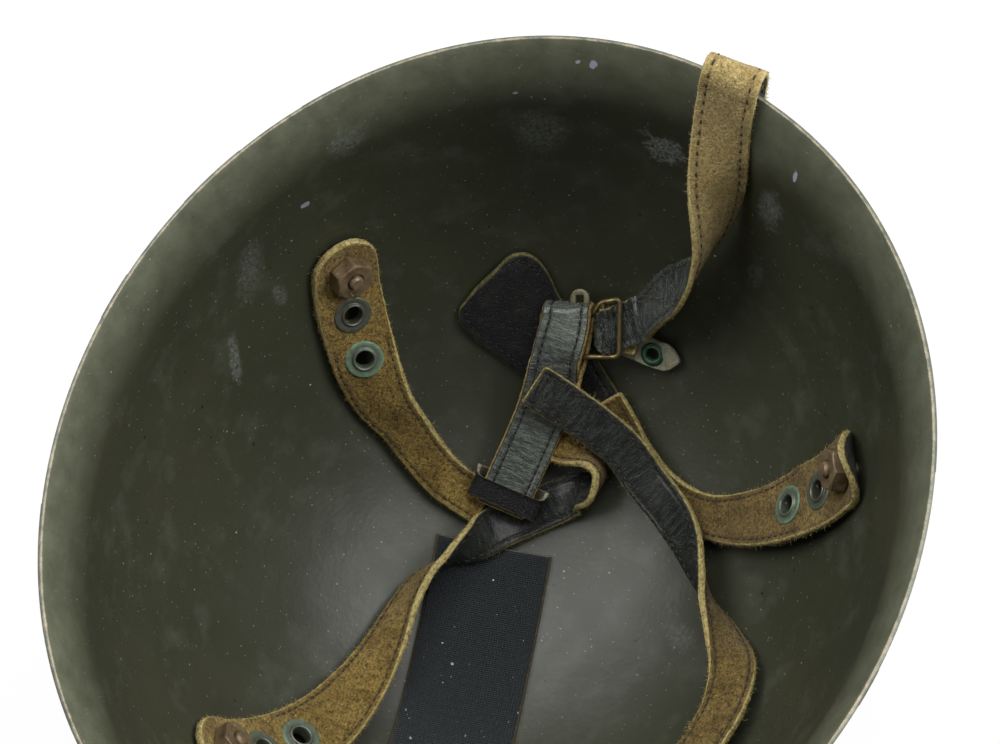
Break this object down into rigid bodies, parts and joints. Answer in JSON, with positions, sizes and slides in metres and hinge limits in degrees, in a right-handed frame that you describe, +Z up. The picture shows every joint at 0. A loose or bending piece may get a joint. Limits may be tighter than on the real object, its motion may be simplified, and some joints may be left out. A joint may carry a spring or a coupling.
{
  "type": "paratrooper helmet with leather harness",
  "caption": "Round rimless steel paratrooper helmet lying open side up, with two-sided leather harness straps, wire buckle, chin pad and chin strap over the rim",
  "frame": {"origin": "lowest outer point of the crown, on which the helmet rests open side up", "axes": "+Z up out of the open side, +Y toward the rear of the helmet, +X toward the wearer's right; metres"},
  "size_m": [0.2468, 0.288, 0.1674],
  "materials": {
    "shell_paint": "worn dark olive paint, half matt",
    "patch_backing": "brown backing cloth",
    "webbing": "ribbed blue-black webbing",
    "grain_leather": "black grain leather with a soft sheen",
    "suede_leather": "tan suede inner face, black grain outer face",
    "pale_leather": "pale grey worn leather",
    "buckle_brass": "aged dull brass",
    "eyelet_metal": "dark gunmetal with green tarnish",
    "lacquered_metal": "brown lacquer"
  },
  "bodies": {
    "root": {"shell": "shell_paint", "patch_backing": "patch_backing", "crown_patch": "webbing", "rear_left_strap": "suede_leather", "rear_right_strap": "suede_leather", "front_left_strap": "suede_leather", "front_right_strap": "suede_leather", "rear_left_eyelets": "eyelet_metal", "rear_right_eyelets": "eyelet_metal", "front_left_eyelets": "eyelet_metal", "front_right_eyelets": "eyelet_metal", "rear_left_bolt": "lacquered_metal", "rear_right_bolt": "lacquered_metal", "front_left_bolt": "lacquered_metal", "front_right_bolt": "lacquered_metal", "rear_left_nut": "lacquered_metal", "rear_right_nut": "lacquered_metal", "front_left_nut": "lacquered_metal", "front_right_nut": "lacquered_metal", "buckle_strap": "grain_leather", "buckle_frame": "buckle_brass", "chin_pad": "grain_leather", "chin_strap": "suede_leather", "tip_tab": "pale_leather", "tip_eyelet": "eyelet_metal"},
    "keeper": {"keeper_loop": "grain_leather"},
    "ear": {"buckle_ear": "buckle_brass"}
  },
  "joints": [
    {"name": "keeper_slide", "type": "slide", "parent": "root", "child": "keeper", "axis": [0.0142, 0.952, 0.3059], "range_m": [0, 0.006]},
    {"name": "ear_hinge", "type": "hinge", "parent": "root", "child": "ear", "pos_m": [-0.0179, 0.09522, 0.05481], "axis": [0.9359, 0.2589, 0.239], "range_deg": [-25, 5]}
  ]
}
